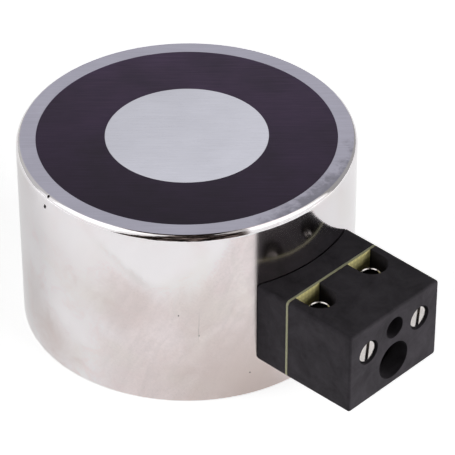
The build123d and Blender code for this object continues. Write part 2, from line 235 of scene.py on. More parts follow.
def plate_dulling(tree, place, around, height, swirl):
    """Where the plate has dulled, from 0 to 1, and the distance below the clean patch on the pot's front."""
    # The clean patch ends at two sloping lines and a level one, in millimetres.
    falling = add(tree, "ShaderNodeMath", {0: around, 1: -28.1 * MM, 2: 5.3 * MM}, operation="MULTIPLY_ADD")
    rising = add(tree, "ShaderNodeMath", {0: around, 1: 60.6 * MM, 2: 80.3 * MM}, operation="MULTIPLY_ADD")
    border = add(tree, "ShaderNodeMath", {0: falling.outputs[0], 1: rising.outputs[0]}, operation="MAXIMUM")
    border = add(tree, "ShaderNodeMath", {0: border.outputs[0], 1: 33 * MM}, operation="MAXIMUM")
    under = add(tree, "ShaderNodeMath", {0: border.outputs[0], 1: height}, operation="SUBTRACT")
    wander = add(tree, "ShaderNodeMapRange", {0: swirl, 1: 0.3, 2: 0.7, 3: -1.1 * MM, 4: 1.1 * MM})
    under = add(
        tree, "ShaderNodeMath", {0: under.outputs[0], 1: wander.outputs[0]}, operation="ADD"
    ).outputs[0]
    patch = add(tree, "ShaderNodeMapRange", {0: under, 1: -1.5 * MM, 2: 5.5 * MM}, **EASED)
    started = add(tree, "ShaderNodeMapRange", {0: around, 1: -1.52, 2: -1.05}, **EASED)
    stopped = add(tree, "ShaderNodeMapRange", {0: around, 1: -0.3, 2: 0.1, 3: 1.0, 4: 0.0}, **EASED)
    front = add(
        tree, "ShaderNodeMath", {0: started.outputs[0], 1: stopped.outputs[0]}, operation="MULTIPLY"
    )
    clouds = add(
        tree,
        "ShaderNodeTexNoise",
        {
            "Vector": place,
            "W": 2.0,
            "Scale": per_mm(30),
            "Detail": 4.0,
            "Roughness": 0.5,
            "Distortion": 0.7,
        },
        noise_dimensions="4D",
    )
    elsewhere = add(
        tree, "ShaderNodeMapRange", {0: clouds.outputs["Fac"], 1: 0.46, 2: 0.72, 3: 0.04, 4: 0.6}, **EASED
    )
    dull = add(
        tree,
        "ShaderNodeMix",
        {0: front.outputs[0], 2: elsewhere.outputs[0], 3: patch.outputs[0]},
        data_type="FLOAT",
    ).outputs[0]
    return dull, under, front.outputs[0]


def bright_nickel(name, finish, polish, haze, clean=False):
    """Bright nickel plate over turned and polished steel."""
    # A nearly clear mirror. Below a clean patch on the front it has dulled to a faintly brown grey, with fine
    # grain and wiping streaks, a tide mark of dried rinse water, a few scratches and some blisters. Polish is
    # the depth in microns of the lines that run round the pot, which draw reflections out up and down. Haze is
    # the roughness of the clean plate.
    material, tree, shader, place = start_material(name, Metallic=1.0)
    axes = add(tree, "ShaderNodeSeparateXYZ", {0: place}).outputs
    height = axes["Z"]
    around = add(tree, "ShaderNodeMath", {0: axes["Y"], 1: axes["X"]}, operation="ARCTAN2").outputs[0]
    swirl = add(
        tree,
        "ShaderNodeTexNoise",
        {"Vector": place, "Scale": per_mm(7), "Detail": 4.0, "Roughness": 0.6, "Distortion": 0.8},
    ).outputs["Fac"]
    dull, under, front = plate_dulling(tree, place, around, height, swirl)
    tint = add(
        tree, "ShaderNodeMix", {0: dull, 6: finish.nickel, 7: finish.nickel_dull}, data_type="RGBA"
    ).outputs[2]
    if clean:
        tint = finish.nickel
    # Faint pink and straw clouds lie over clean and dull plate alike.
    pink = add(tree, "ShaderNodeMapRange", {0: swirl, 1: 0.46, 2: 0.72, 3: 0.0, 4: 0.34}, **EASED)
    tint = add(
        tree, "ShaderNodeMix", {0: pink.outputs[0], 6: tint, 7: finish.nickel_pink}, data_type="RGBA"
    ).outputs[2]
    clouds = add(
        tree,
        "ShaderNodeTexNoise",
        {"Vector": place, "Scale": per_mm(19), "Detail": 3.0, "Roughness": 0.5, "Distortion": 0.5},
    )
    straw = add(
        tree, "ShaderNodeMapRange", {0: clouds.outputs["Fac"], 1: 0.5, 2: 0.72, 3: 0.0, 4: 0.45}, **EASED
    )
    tint = add(
        tree, "ShaderNodeMix", {0: straw.outputs[0], 6: tint, 7: finish.nickel_straw}, data_type="RGBA"
    ).outputs[2]
    # Streaks of one wipe with a cloth, leaning to one side, show where the plate is dull.
    wiped = add(
        tree,
        "ShaderNodeMapping",
        {"Vector": place, "Rotation": WIPING_TILT, "Scale": (3.4 * MM, 3.4 * MM, 11 * MM)},
        vector_type="TEXTURE",
    )
    streaks = add(
        tree,
        "ShaderNodeTexNoise",
        {"Vector": wiped.outputs[0], "Scale": 1.0, "Detail": 4.0, "Roughness": 0.6, "Distortion": 0.9},
    )
    streaks = add(
        tree, "ShaderNodeMapRange", {0: streaks.outputs["Fac"], 1: 0.3, 2: 0.7, 3: 0.95, 4: 1.035}, **EASED
    )
    # The dull plate's grain is finer than this in the hand. It is drawn as coarse as it needs to show.
    grit = add(
        tree,
        "ShaderNodeTexNoise",
        {"Vector": place, "Scale": per_mm(0.55), "Detail": 3.0, "Roughness": 0.75},
    )
    grit = add(tree, "ShaderNodeMapRange", {0: grit.outputs["Fac"], 1: 0.3, 2: 0.7, 3: 0.94, 4: 1.04})
    worn = add(tree, "ShaderNodeMath", {0: streaks.outputs[0], 1: grit.outputs[0]}, operation="MULTIPLY")
    depth = add(tree, "ShaderNodeMapRange", {0: dull, 3: 0.3, 4: 1.0})
    worn = add(
        tree, "ShaderNodeMix", {0: depth.outputs[0], 2: 1.0, 3: worn.outputs[0]}, data_type="FLOAT"
    ).outputs[0]
    tint = add(tree, "ShaderNodeVectorMath", {0: tint, "Scale": worn}, operation="SCALE").outputs["Vector"]
    # A tide mark lies along the clean patch's falling edge.
    away = add(tree, "ShaderNodeMath", {0: under}, operation="ABSOLUTE")
    tide = add(
        tree, "ShaderNodeMapRange", {0: away.outputs[0], 1: 0.0, 2: 2.4 * MM, 3: 0.27, 4: 0.0}, **EASED
    )
    arm = add(tree, "ShaderNodeMapRange", {0: around, 1: -1.12, 2: -0.92, 3: 1.0, 4: 0.1}, **EASED)
    tide = add(tree, "ShaderNodeMath", {0: tide.outputs[0], 1: arm.outputs[0]}, operation="MULTIPLY")
    tide = add(tree, "ShaderNodeMath", {0: tide.outputs[0], 1: front}, operation="MULTIPLY")
    tint = add(
        tree, "ShaderNodeMix", {0: tide.outputs[0], 6: tint, 7: finish.nickel_grey}, data_type="RGBA"
    ).outputs[2]
    # Brown stains lie on the plate. Beside the block's foot and low on the left they are painted shade,
    # standing for the shadow that the plate reflects there.
    for at, radius, strength in PLATE_STAINS_AND_SHADE:
        reach = add(tree, "ShaderNodeVectorMath", {0: place, 1: Vector(at) * MM}, operation="DISTANCE")
        reach = add(
            tree,
            "ShaderNodeMath",
            {0: swirl, 1: -0.8 * radius * MM, 2: reach.outputs["Value"]},
            operation="MULTIPLY_ADD",
        )
        stain_and_shade = add(
            tree,
            "ShaderNodeMapRange",
            {0: reach.outputs[0], 1: -0.2 * radius * MM, 2: radius * MM, 3: strength, 4: 0.0},
            **EASED,
        )
        tint = add(
            tree, "ShaderNodeMix", {0: stain_and_shade.outputs[0], 6: tint, 7: finish.nickel_brown_and_shade}, data_type="RGBA"
        ).outputs[2]
    # Scratches run nearly straight down the side.
    leaning = add(
        tree, "ShaderNodeMath", {0: height, 1: -0.9, 2: around}, operation="MULTIPLY_ADD"
    ).outputs[0]
    scores = 0.0
    for angle, low, high in PLATE_SCRATCHES:
        off = add(tree, "ShaderNodeMath", {0: leaning, 1: math.radians(angle)}, operation="SUBTRACT")
        off = add(tree, "ShaderNodeMath", {0: off.outputs[0]}, operation="ABSOLUTE")
        thin = add(tree, "ShaderNodeMapRange", {0: off.outputs[0], 1: 0.0005, 2: 0.004, 3: 0.26, 4: 0.0})
        top = add(tree, "ShaderNodeMapRange", {0: height, 1: high * MM, 2: (high - 6) * MM})
        foot = add(tree, "ShaderNodeMapRange", {0: height, 1: low * MM, 2: (low + 3) * MM})
        one = add(tree, "ShaderNodeMath", {0: top.outputs[0], 1: foot.outputs[0]}, operation="MULTIPLY")
        one = add(tree, "ShaderNodeMath", {0: one.outputs[0], 1: thin.outputs[0]}, operation="MULTIPLY")
        scores = add(tree, "ShaderNodeMath", {0: scores, 1: one.outputs[0]}, operation="MAXIMUM").outputs[0]
    tint = add(
        tree, "ShaderNodeMix", {0: scores, 6: tint, 7: finish.nickel_score}, data_type="RGBA"
    ).outputs[2]
    marks = 0.0
    for at, radius in PLATE_SPECKS:
        one = speck(tree, place, at, radius)
        marks = add(tree, "ShaderNodeMath", {0: marks, 1: one}, operation="MAXIMUM").outputs[0]
    tint = add(
        tree, "ShaderNodeMix", {0: marks, 6: tint, 7: finish.nickel_pit}, data_type="RGBA"
    ).outputs[2]
    tree.links.new(tint, shader.inputs["Base Color"])
    satin = add(tree, "ShaderNodeMapRange", {0: dull, 3: haze, 4: haze + 0.05})
    rough = add(tree, "ShaderNodeMath", {0: satin.outputs[0], 1: marks}, operation="MAXIMUM")
    tree.links.new(rough.outputs[0], shader.inputs["Roughness"])
    # Polishing lines go round the pot, and wander a little as they go.
    flat = add(tree, "ShaderNodeVectorMath", {0: place, 1: (1.0, 1.0, 0.0)}, operation="MULTIPLY")
    way = add(tree, "ShaderNodeVectorMath", {0: flat.outputs["Vector"]}, operation="NORMALIZE")
    stretch = add(tree, "ShaderNodeVectorMath", {0: way.outputs["Vector"], "Scale": 5.0}, operation="SCALE")
    rise = add(tree, "ShaderNodeMath", {0: height, 1: per_mm(0.3)}, operation="MULTIPLY")
    rise = add(tree, "ShaderNodeCombineXYZ", {"Z": rise.outputs[0]})
    band = add(
        tree, "ShaderNodeVectorMath", {0: stretch.outputs["Vector"], 1: rise.outputs[0]}, operation="ADD"
    )
    lines = add(
        tree,
        "ShaderNodeTexNoise",
        {
            "Vector": band.outputs["Vector"],
            "Scale": 1.0,
            "Detail": 3.0,
            "Roughness": 0.6,
            "Distortion": 0.3,
        },
    )
    waves = add(tree, "ShaderNodeTexNoise", {"Vector": place, "Scale": per_mm(5), "Detail": 2.0})
    pits = add(
        tree, "ShaderNodeMath", {0: marks, 1: -6.0, 2: waves.outputs["Fac"]}, operation="MULTIPLY_ADD"
    )
    relief = add(
        tree, "ShaderNodeBump", {"Strength": 1.0, "Distance": 0.012 * MM, "Height": pits.outputs[0]}
    )
    polished = add(
        tree,
        "ShaderNodeBump",
        {
            "Strength": 1.0,
            "Distance": polish * 0.001 * MM,
            "Height": lines.outputs["Fac"],
            "Normal": relief.outputs[0],
        },
    )
    tree.links.new(polished.outputs[0], shader.inputs["Normal"])
    return material


def grinding_lines(tree, place, width):
    """Straight fine lines, this many millimetres wide, as one pass of the grinder leaves them."""
    spacing = (14 * MM, width * MM, 1.0)
    along = add(
        tree,
        "ShaderNodeMapping",
        {"Vector": place, "Rotation": (0, 0, GRINDING_ANGLE), "Scale": spacing},
        vector_type="TEXTURE",
    )
    return add(
        tree,
        "ShaderNodeTexNoise",
        {"Vector": along.outputs[0], "Scale": 1.0, "Detail": 5.0, "Roughness": 0.75},
    ).outputs["Fac"]


def ground_steel(name, base, roughness, contrast, painted_light_slope):
    """Steel ground on a surface grinder and then plated. Slope is how much paler it is painted toward +X, as
    painted light.
    """
    # Straight fine lines lie across pole, resin and rim alike, because all were ground in one pass.
    material, tree, shader, place = start_material(name, Metallic=1.0)
    lines = grinding_lines(tree, place, 0.38)
    clouds = add(tree, "ShaderNodeTexNoise", {"Vector": place, "Scale": per_mm(11), "Detail": 4.0})
    tone = add(tree, "ShaderNodeMapRange", {0: lines, 1: 0.3, 2: 0.7, 3: 1 - contrast, 4: 1 + contrast})
    drift = add(tree, "ShaderNodeMapRange", {0: clouds.outputs["Fac"], 1: 0.3, 2: 0.7, 3: 0.96, 4: 1.04})
    both = add(tree, "ShaderNodeMath", {0: tone.outputs[0], 1: drift.outputs[0]}, operation="MULTIPLY")
    # Painted light: the face is painted paler toward +X, the side of the big soft box.
    toward = add(tree, "ShaderNodeVectorMath", {0: place, 1: (1.0, 0.0, 0.0)}, operation="DOT_PRODUCT")
    paler = add(
        tree,
        "ShaderNodeMapRange",
        {0: toward.outputs["Value"], 1: -19 * MM, 2: 19 * MM, 3: 1 - painted_light_slope, 4: 1 + painted_light_slope},
    )
    both = add(tree, "ShaderNodeMath", {0: both.outputs[0], 1: paler.outputs[0]}, operation="MULTIPLY")
    # Painted shade: the outer edge is painted darker round one point toward +X.
    reach = add(tree, "ShaderNodeVectorMath", {0: place, 1: Vector(PAINTED_RIM_SHADE_AT) * MM}, operation="DISTANCE")
    cloudy = add(
        tree,
        "ShaderNodeTexNoise",
        {"Vector": place, "Scale": per_mm(3), "Detail": 5.0, "Roughness": 0.7, "Distortion": 0.5},
    )
    cloudy = add(
        tree, "ShaderNodeMapRange", {0: cloudy.outputs["Fac"], 1: 0.3, 2: 0.7, 3: -11 * MM, 4: 11 * MM}
    )
    reach = add(tree, "ShaderNodeMath", {0: reach.outputs["Value"], 1: cloudy.outputs[0]}, operation="ADD")
    outward = add(tree, "ShaderNodeVectorMath", {0: place, 1: (1.0, 1.0, 0.0)}, operation="MULTIPLY")
    outward = add(tree, "ShaderNodeVectorMath", {0: outward.outputs["Vector"]}, operation="LENGTH")
    inside = add(
        tree,
        "ShaderNodeMapRange",
        {0: outward.outputs["Value"], 1: 39 * MM, 2: 35 * MM, 3: 0.0, 4: 14 * MM},
    )
    reach = add(tree, "ShaderNodeMath", {0: reach.outputs[0], 1: inside.outputs[0]}, operation="ADD")
    painted_rim_shade = add(
        tree, "ShaderNodeMapRange", {0: reach.outputs[0], 1: 4 * MM, 2: 26 * MM, 3: 0.55, 4: 1.0}, **EASED
    )
    both = add(tree, "ShaderNodeMath", {0: both.outputs[0], 1: painted_rim_shade.outputs[0]}, operation="MULTIPLY")
    rough = add(
        tree, "ShaderNodeMapRange", {0: lines, 1: 0.3, 2: 0.7, 3: roughness * 0.85, 4: roughness * 1.15}
    )
    lay_surface(tree, shader, base, both.outputs[0], rough.outputs[0], lines, 0.01)
    return material


def turned_steel(name, base, roughness, pitch):
    """Steel faced on a lathe and then plated."""
    # Concentric tool lines, which fan the light out from the middle.
    material, tree, shader, place = start_material(name, Metallic=1.0)
    flat = add(tree, "ShaderNodeVectorMath", {0: place, 1: (1.0, 1.0, 0.0)}, operation="MULTIPLY")
    radius = add(tree, "ShaderNodeVectorMath", {0: flat.outputs["Vector"]}, operation="LENGTH")
    rings = add(
        tree,
        "ShaderNodeTexNoise",
        {"W": radius.outputs["Value"], "Scale": per_mm(pitch), "Detail": 3.0, "Roughness": 0.7},
        noise_dimensions="1D",
    )
    clouds = add(tree, "ShaderNodeTexNoise", {"Vector": place, "Scale": per_mm(14), "Detail": 4.0})
    tone = add(tree, "ShaderNodeMapRange", {0: clouds.outputs["Fac"], 1: 0.3, 2: 0.7, 3: 0.9, 4: 1.05})
    rough = add(
        tree,
        "ShaderNodeMapRange",
        {0: rings.outputs["Fac"], 1: 0.3, 2: 0.7, 3: roughness * 0.8, 4: roughness * 1.2},
    )
    lay_surface(tree, shader, base, tone.outputs[0], rough.outputs[0], rings.outputs["Fac"], 0.015)
    return material


def cast_resin(finish):
    """Black epoxy resin, cast and then ground flush with the pole."""
    # Grinding leaves it satin, with the same straight lines as the steel and a few opened air bubbles.
    material, tree, shader, place = start_material(
        "Epoxy_resin_cast_and_ground", IOR=1.5, Specular_IOR_Level=0.1
    )
    lines = grinding_lines(tree, place, 0.42)
    clouds = add(tree, "ShaderNodeTexNoise", {"Vector": place, "Scale": per_mm(13), "Detail": 3.0})
    mixed = add(tree, "ShaderNodeMath", {0: lines, 1: clouds.outputs["Fac"]}, operation="ADD")
    tone = add(tree, "ShaderNodeMapRange", {0: mixed.outputs[0], 1: 0.7, 2: 1.3, 3: 0.65, 4: 1.4})
    # Painted light: the resin is painted paler toward the back.
    toward = add(tree, "ShaderNodeVectorMath", {0: place, 1: PAINTED_LIGHT_TOWARD}, operation="DOT_PRODUCT")
    painted_light_back = add(
        tree, "ShaderNodeMapRange", {0: toward.outputs["Value"], 1: -34 * MM, 2: 34 * MM, 3: 0.68, 4: 1.9}
    )
    tone = add(tree, "ShaderNodeMath", {0: tone.outputs[0], 1: painted_light_back.outputs[0]}, operation="MULTIPLY")
    rough = add(tree, "ShaderNodeMapRange", {0: mixed.outputs[0], 1: 0.7, 2: 1.3, 3: 0.4, 4: 0.54})
    bubbles = add(tree, "ShaderNodeTexVoronoi", {"Vector": place, "Scale": per_mm(6), "Randomness": 1.0})
    pores = add(
        tree, "ShaderNodeMapRange", {0: bubbles.outputs["Distance"], 1: 0.015, 2: 0.035, 3: -3.0, 4: 0.0}
    )
    relief = add(tree, "ShaderNodeMath", {0: lines, 1: pores.outputs[0]}, operation="ADD")
    lay_surface(tree, shader, finish.resin, tone.outputs[0], rough.outputs[0], relief.outputs[0], 0.008)
    return material


def matt_moulding(finish):
    """Black phenolic, compression moulded in a spark-eroded tool."""
    # A dull, slightly grainy black: the tool's texture scatters the light, and handling leaves paler patches.
    material, tree, shader, place = start_material(
        "Phenolic_black_moulded", IOR=1.5, Specular_IOR_Level=0.06
    )
    grain = add(
        tree,
        "ShaderNodeTexNoise",
        {"Vector": place, "Scale": per_mm(0.35), "Detail": 3.0, "Roughness": 0.6},
    )
    patches = add(
        tree,
        "ShaderNodeTexNoise",
        {"Vector": place, "Scale": per_mm(6), "Detail": 7.0, "Roughness": 0.72, "Distortion": 0.4},
    )
    tone = add(tree, "ShaderNodeMapRange", {0: patches.outputs["Fac"], 1: 0.3, 2: 0.7, 3: 0.6, 4: 1.45})
    rough = add(tree, "ShaderNodeMapRange", {0: patches.outputs["Fac"], 1: 0.3, 2: 0.7, 3: 0.52, 4: 0.64})
    lay_surface(
        tree, shader, finish.moulding, tone.outputs[0], rough.outputs[0], grain.outputs["Fac"], 0.015
    )
    return material


def glass_board(finish):
    """Glass-fibre and epoxy laminate, sheared to size."""
    # The weave shows faintly through the resin of its faces, and the sheared edge is paler and dry.
    material, tree, shader, place = start_material("Glass_fibre_laminate_sheared", IOR=1.55)
    normal = add(tree, "ShaderNodeSeparateXYZ", {0: add(tree, "ShaderNodeNewGeometry").outputs["Normal"]})
    across = add(tree, "ShaderNodeMath", {0: normal.outputs["X"]}, operation="ABSOLUTE")
    face = add(tree, "ShaderNodeMapRange", {0: across.outputs[0], 1: 0.4, 2: 0.7})
    warp = add(
        tree,
        "ShaderNodeTexWave",
        {"Vector": place, "Scale": per_mm(0.6) / 6.28, "Distortion": 0.4, "Detail": 1.0},
        bands_direction="Y",
    )
    weft = add(
        tree,
        "ShaderNodeTexWave",
        {"Vector": place, "Scale": per_mm(0.6) / 6.28, "Distortion": 0.4, "Detail": 1.0},
        bands_direction="Z",
    )
    weave = add(
        tree, "ShaderNodeMath", {0: warp.outputs["Fac"], 1: weft.outputs["Fac"]}, operation="MULTIPLY"
    )
    layers = add(
        tree, "ShaderNodeTexNoise", {"Vector": place, "Scale": per_mm(0.5), "Detail": 3.0, "Roughness": 0.7}
    )
    edge_tone = add(tree, "ShaderNodeMapRange", {0: layers.outputs["Fac"], 1: 0.3, 2: 0.7, 3: 0.75, 4: 1.1})
    edge = add(
        tree,
        "ShaderNodeVectorMath",
        {0: finish.board_edge[:3], "Scale": edge_tone.outputs[0]},
        operation="SCALE",
    )
    face_tone = add(tree, "ShaderNodeMapRange", {0: weave.outputs[0], 3: 0.85, 4: 1.12})
    front = add(
        tree,
        "ShaderNodeVectorMath",
        {0: finish.board[:3], "Scale": face_tone.outputs[0]},
        operation="SCALE",
    )
    shade = add(
        tree,
        "ShaderNodeMix",
        {0: face.outputs[0], 6: edge.outputs["Vector"], 7: front.outputs["Vector"]},
        data_type="RGBA",
    )
    tree.links.new(shade.outputs[2], shader.inputs["Base Color"])
    rough = add(tree, "ShaderNodeMapRange", {0: face.outputs[0], 3: 0.75, 4: 0.35})
    tree.links.new(rough.outputs[0], shader.inputs["Roughness"])
    bump = add(
        tree, "ShaderNodeBump", {"Strength": 1.0, "Distance": 0.02 * MM, "Height": layers.outputs["Fac"]}
    )
    tree.links.new(bump.outputs[0], shader.inputs["Normal"])
    return material


def small_metal(name, base, roughness, grain, relief):
    """A small metal part as it comes from its machine, with a fine even grain."""
    # Handling and plating leave tiny waves, so its highlights break up instead of lying flat.
    material, tree, shader, place = start_material(name, Metallic=1.0)
    waves = add(
        tree,
        "ShaderNodeTexNoise",
        {"Vector": place, "Scale": per_mm(grain), "Detail": 4.0, "Roughness": 0.65},
    )
    tone = add(tree, "ShaderNodeMapRange", {0: waves.outputs["Fac"], 1: 0.3, 2: 0.7, 3: 0.86, 4: 1.05})
    rough = add(
        tree,
        "ShaderNodeMapRange",
        {0: waves.outputs["Fac"], 1: 0.3, 2: 0.7, 3: roughness * 0.7, 4: roughness * 1.3},
    )
    lay_surface(tree, shader, base, tone.outputs[0], rough.outputs[0], waves.outputs["Fac"], relief)
    return material


def small_plastic(name, base, roughness, grain, ior):
    """A small insulating part, with the slight mottling of its stock."""
    # Fillers and fibres vary the shade a little from place to place.
    material, tree, shader, place = start_material(name, IOR=ior)
    mottle = add(
        tree,
        "ShaderNodeTexNoise",
        {"Vector": place, "Scale": per_mm(grain), "Detail": 4.0, "Roughness": 0.6},
    )
    tone = add(tree, "ShaderNodeMapRange", {0: mottle.outputs["Fac"], 1: 0.3, 2: 0.7, 3: 0.85, 4: 1.1})
    rough = add(
        tree,
        "ShaderNodeMapRange",
        {0: mottle.outputs["Fac"], 1: 0.3, 2: 0.7, 3: roughness * 0.85, 4: roughness * 1.15},
    )
    lay_surface(tree, shader, base, tone.outputs[0], rough.outputs[0], mottle.outputs["Fac"], 0.02)
    return material


def wound_copper(finish):
    """Enamelled copper wire, wound in level layers."""
    # Even turns of half a millimetre catch the light one by one under the clear enamel; the paler and darker
    # bands in their colour are painted highlight and shade.
    material, tree, shader, place = start_material(
        "Copper_wire_enamelled_wound", Metallic=1.0, Coat_Weight=0.6
    )
    turns = add(
        tree,
        "ShaderNodeTexWave",
        {"Vector": place, "Scale": per_mm(0.5) / 6.28, "Distortion": 0.2},
        bands_direction="Z",
    )
    tone = add(tree, "ShaderNodeMapRange", {0: turns.outputs["Fac"], 3: 0.6, 4: 1.1})
    rough = add(tree, "ShaderNodeMapRange", {0: turns.outputs["Fac"], 3: 0.4, 4: 0.25})
    lay_surface(tree, shader, finish.copper, tone.outputs[0], rough.outputs[0], turns.outputs["Fac"], 0.2)
    return material


def keep_node(node, material):
    """Gives a CAD node, whose shape is right, its finished material."""
    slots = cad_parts[node].data.materials
    slots.clear()
    slots.append(material)


def thread_groove(height, angle, pitch):
    """Depth of a right-hand vee thread, from 0 on the crest to 1 at the root, at a height and angle."""
    phase = (height / pitch - angle / math.tau) % 1.0
    return min(1.0, max(0.0, (abs(2 * phase - 1) - 0.12) / 0.68))


def lathe(rows, around, pitch=1.0):
    """Turns rows of (radius, height, groove) about Z, in millimetres. A groove other than 0 makes a thread."""
    work = bmesh.new()
    rings = []
    for radius, height, groove in rows:
        if radius < 1e-6:
            rings.append([work.verts.new((0, 0, height))])
            continue
        ring = []
        for k in range(around):
            angle = math.tau * k / around
            r = radius - groove * thread_groove(height, angle, pitch) if groove else radius
            ring.append(work.verts.new((r * math.cos(angle), r * math.sin(angle), height)))
        rings.append(ring)
    for lower, upper in zip(rings, rings[1:]):
        for k in range(around):
            n = (k + 1) % around
            if len(lower) == 1:
                work.faces.new((lower[0], upper[n], upper[k]))
            elif len(upper) == 1:
                work.faces.new((lower[k], lower[n], upper[0]))
            else:
                work.faces.new((lower[k], lower[n], upper[n], upper[k]))
    bmesh.ops.recalc_face_normals(work, faces=work.faces)
    return work


def loft(rings, turn=None):
    """A closed solid through rings of points with the same count, capped at both ends."""
    work = bmesh.new()
    made = [[work.verts.new(p) for p in ring] for ring in rings]
    for lower, upper in zip(made, made[1:]):
        for k in range(len(lower)):
            n = (k + 1) % len(lower)
            work.faces.new((lower[k], lower[n], upper[n], upper[k]))
    work.faces.new(reversed(made[0]))
    work.faces.new(made[-1])
    if turn:
        work.transform(turn)
    bmesh.ops.recalc_face_normals(work, faces=work.faces)
    return work


def rounded_rectangle(low, high, corner, steps=6):
    """Points round a rectangle with round corners, from its low and high corners in its own plane."""
    points = []
    for quarter, (cx, cy) in enumerate(
        (
            (high[0] - corner, high[1] - corner),
            (low[0] + corner, high[1] - corner),
            (low[0] + corner, low[1] + corner),
            (high[0] - corner, low[1] + corner),
        )
    ):
        for k in range(steps + 1):
            angle = math.radians(90 * (quarter + k / steps))
            points.append((cx + corner * math.cos(angle), cy + corner * math.sin(angle)))
    return points


def circle(x, y, radius, around=AROUND_HOLE):
    return [
        (x + radius * math.cos(math.tau * k / around), y + radius * math.sin(math.tau * k / around))
        for k in range(around)
    ]


# Turns a plan drawn in X and Y, raised along Z, so that it stands in Y and Z and runs out along X.
OUTWARD = Matrix(((0, 0, 1, 0), (1, 0, 0, 0), (0, 1, 0, 0), (0, 0, 0, 1)))
UPRIGHT = Matrix.Identity(4)


def bar(outline, low, high, turn=OUTWARD):
    """A straight bar of a flat outline, from low to high."""
    return loft([[(x, y, low) for x, y in outline], [(x, y, high) for x, y in outline]], turn)


def new_object(name, work):
    """Turns millimetre mesh work into an object in metres."""
    work.transform(Matrix.Scale(MM, 4))
    mesh = bpy.data.meshes.new(name)
    work.to_mesh(mesh)
    work.free()
    piece = bpy.data.objects.new(name, mesh)
    bpy.context.scene.collection.objects.link(piece)
    return piece


def apply_modifiers(piece):
    """Makes a piece's modifiers part of its mesh."""
    graph = bpy.context.evaluated_depsgraph_get()
    made = bpy.data.meshes.new_from_object(piece.evaluated_get(graph))
    piece.modifiers.clear()
    old, piece.data = piece.data, made
    bpy.data.meshes.remove(old)


def cut_out(piece, cutters):
    """Cuts solids out of a piece, one after the other."""
    for n, work in enumerate(cutters):
        cutter = new_object(f"{piece.name}_cutter_{n}", work)
        modifier = piece.modifiers.new("cut", "BOOLEAN")
        modifier.operation = "DIFFERENCE"
        modifier.solver = "EXACT"
        modifier.object = cutter
        apply_modifiers(piece)
        bpy.data.objects.remove(cutter)


def smooth_by_angle(piece, degrees):
    """Shades a piece smooth, apart from edges sharper than this angle."""
    for face in piece.data.polygons:
        face.use_smooth = True
    piece.data.set_sharp_from_angle(angle=math.radians(degrees))


def break_edges(piece, width, degrees=40):
    """Breaks the sharp edges of a machined or moulded piece, and keeps its flats flat."""
    bevel = piece.modifiers.new("edge_break", "BEVEL")
    bevel.width = width
    bevel.segments = 2
    bevel.limit_method = "ANGLE"
    bevel.angle_limit = math.radians(degrees)
    bevel.use_clamp_overlap = False
    bevel.miter_outer = "MITER_ARC"
    for face in piece.data.polygons:
        face.use_smooth = True
    piece.modifiers.new("flat_faces", "WEIGHTED_NORMAL")


def dress(piece, material, body, slot, *nodes):
    """Gives a piece its material, its CAD body and the nodes that it stands for. The slot, a material slot
    name, is not used.
    """
    for each in material if isinstance(material, list) else [material]:
        piece.data.materials.append(each)
    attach(piece, body)
    if nodes:
        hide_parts(*nodes)
    return piece


def slotted_screw(name, sizes, head_radius, head_height, shank, seat, pin=None, dish=None):
    """A slotted screw with a rolled thread. The matrix seat puts its head's underside in place.

    A pin is the (radius, length) of a plain end, and a dish the (radius, depth) of a hollow in the head.
    """
    core, major = sizes.screw_core / MM, sizes.screw_major / MM
    pitch = sizes.screw_pitch / MM
    edge, under = 0.3, 0.05
    rows = [(0, head_height, 0)]
    if dish:
        dish_radius, dish_depth = dish
        lip = head_radius - edge - dish_radius
        rows = [
            (0, head_height - dish_depth, 0),
            (dish_radius, head_height - dish_depth, 0),
            (dish_radius, head_height - lip, 0),
        ]
    for k in range(6):
        a = math.radians(90 - 18 * k)
        rows.append((head_radius - edge + edge * math.cos(a), head_height - edge + edge * math.sin(a), 0))
    rows += [(head_radius, under, 0), (head_radius - under, 0, 0), (core, 0, 0), (core, -pitch, 0)]
    step = pitch / ROWS_PER_PITCH
    count = round((shank - 2 * pitch) / step)
    for k in range(1, count + 1):
        rows.append((major, -pitch - k * step, (major - core) * min(1.0, k / ROWS_PER_PITCH)))
    if pin:
        pin_radius, pin_length = pin
        rows += [
            (core, -shank + pitch * 0.4, 0),
            (core, -shank, 0),
            (pin_radius, -shank, 0),
            (pin_radius, -shank - pin_length + 0.05, 0),
            (pin_radius - 0.05, -shank - pin_length, 0),
            (0, -shank - pin_length, 0),
        ]
    else:
        rows += [(core, -shank + pitch * 0.4, 0), (core - 0.3, -shank, 0), (0, -shank, 0)]
    piece = new_object(name, lathe(rows, AROUND_SCREW, pitch))
    width, depth, reach, over = sizes.slot_width / MM / 2, sizes.slot_depth / MM, 2 * head_radius, 1.0
    if dish:
        reach, over = dish_radius - 0.04, 0.05 - dish_depth
        depth = dish_depth + 0.65
    groove = [(-reach, -width), (reach, -width), (reach, width), (-reach, width)]
    cut_out(piece, [bar(groove, head_height - depth, head_height + over, UPRIGHT)])
    work = bmesh.new()
    work.from_mesh(piece.data)
    floor = (head_height - depth) * MM
    lips = [
        e
        for e in work.edges
        if len(e.link_faces) == 2
        and e.is_convex
        and e.calc_face_angle() > math.radians(50)
        and min(v.co.z for v in e.verts) > floor - 1e-7
    ]
    bmesh.ops.bevel(
        work,
        geom=lips,
        offset=sizes.slot_break,
        segments=2,
        profile=0.5,
        affect="EDGES",
        clamp_overlap=True,
    )
    # Faces inside the dish take the second material, painted shade in the hollow.
    if dish:
        for face in work.faces:
            middle = face.calc_center_median() / MM
            inside = math.hypot(middle.x, middle.y) < dish_radius + 0.01
            face.material_index = 1 if inside and middle.z > 0.05 else 0
    work.transform(seat)
    work.to_mesh(piece.data)
    work.free()
    smooth_by_angle(piece, 35)
    return piece


